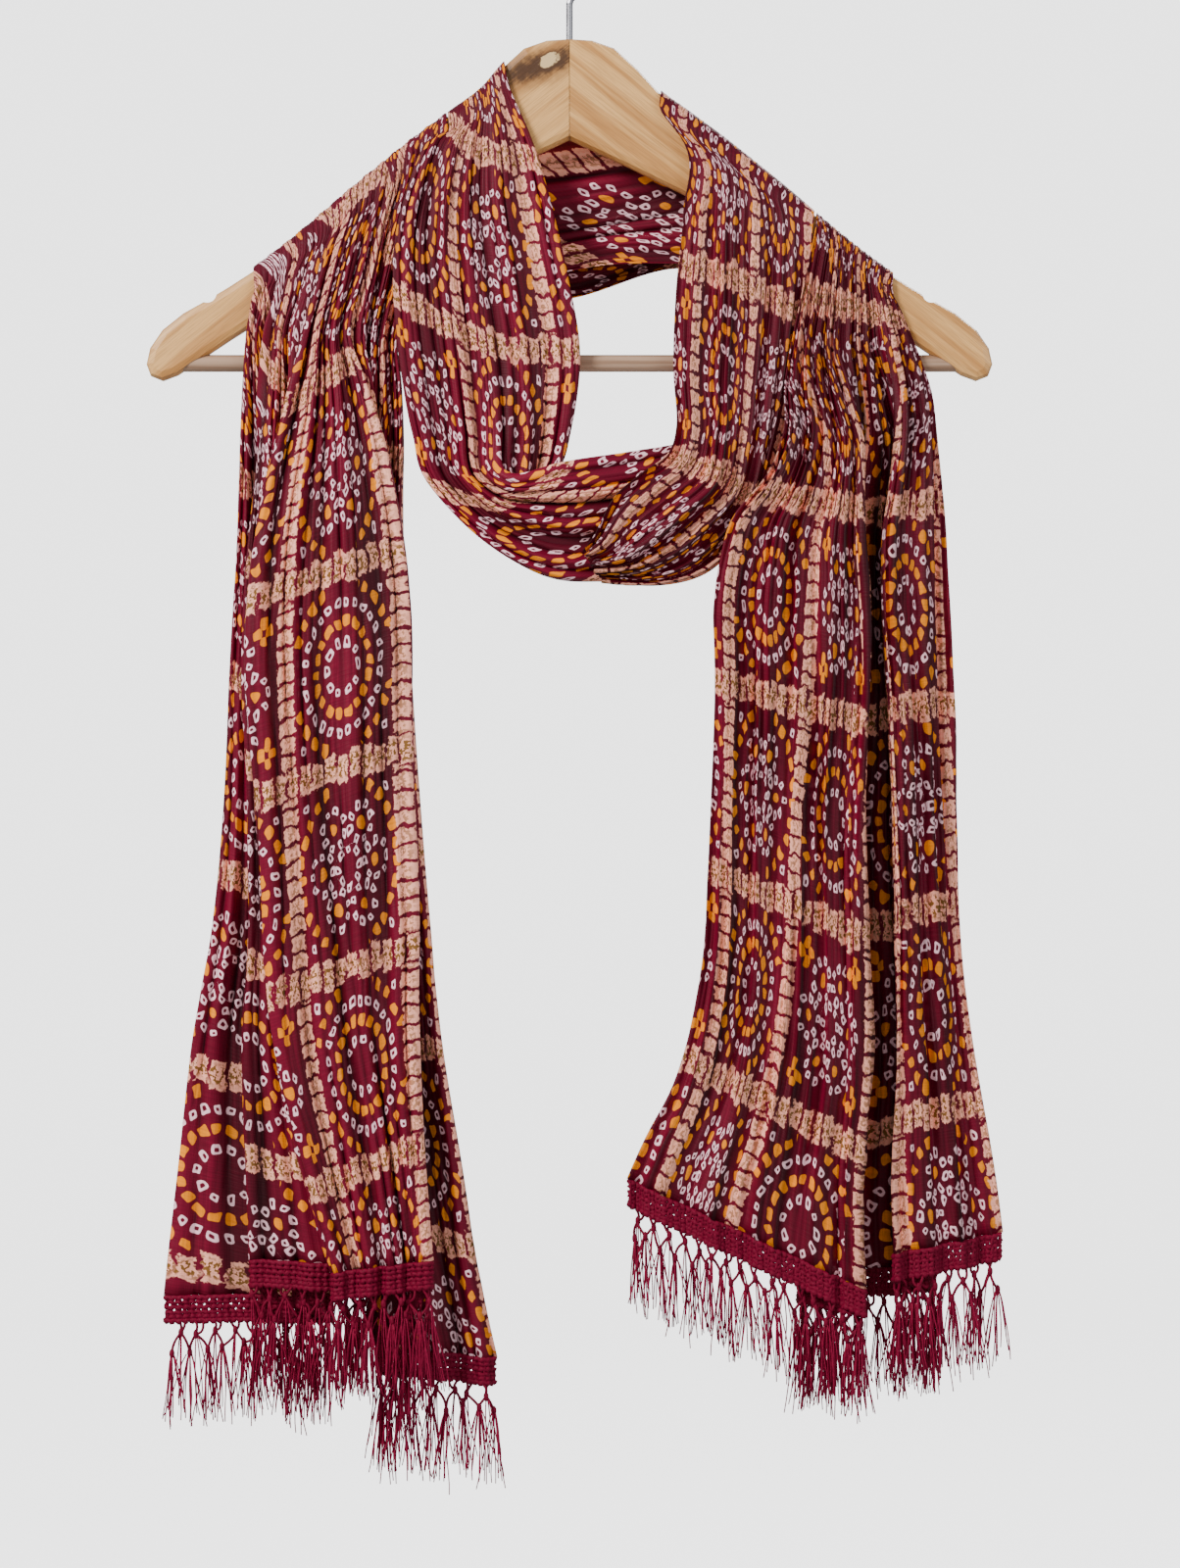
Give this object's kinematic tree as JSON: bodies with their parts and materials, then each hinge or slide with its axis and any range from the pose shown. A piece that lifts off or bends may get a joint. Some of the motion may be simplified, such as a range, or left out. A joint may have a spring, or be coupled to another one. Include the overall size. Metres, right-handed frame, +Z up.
{
  "type": "dupatta stole on a wooden hanger",
  "caption": "Long printed dupatta stole with crocheted and fringed ends, wound once round a wooden clothes hanger so that it hangs as a front loop and two tails.",
  "frame": {"origin": "inner crown of the hanger's hook, where it rests on a rail", "axes": "+Z up, -Y towards the viewer of the front, +X to the viewer's right; hung as worn on display"},
  "size_m": [0.4515, 0.073, 0.8234],
  "materials": {
    "cloth": "crinkled silk-like weave in maroon with tie-dye dots and beige block bands, soft sheen",
    "fringe": "twisted yarn in deep crimson",
    "wood": "clear satin lacquer over pale knotty wood",
    "bar": "satin lacquer",
    "steel": "plated wire"
  },
  "bodies": {
    "root": {"hanger_arm_left": "wood", "hanger_arm_right": "wood", "trouser_bar": "bar", "hook": "steel", "left_tail": "cloth", "right_tail": "cloth", "loop_left": "cloth", "loop_right": "cloth", "back_band_front": "cloth", "back_band_rear": "cloth", "fringe_left": "fringe", "fringe_right": "fringe"}
  },
  "joints": []
}
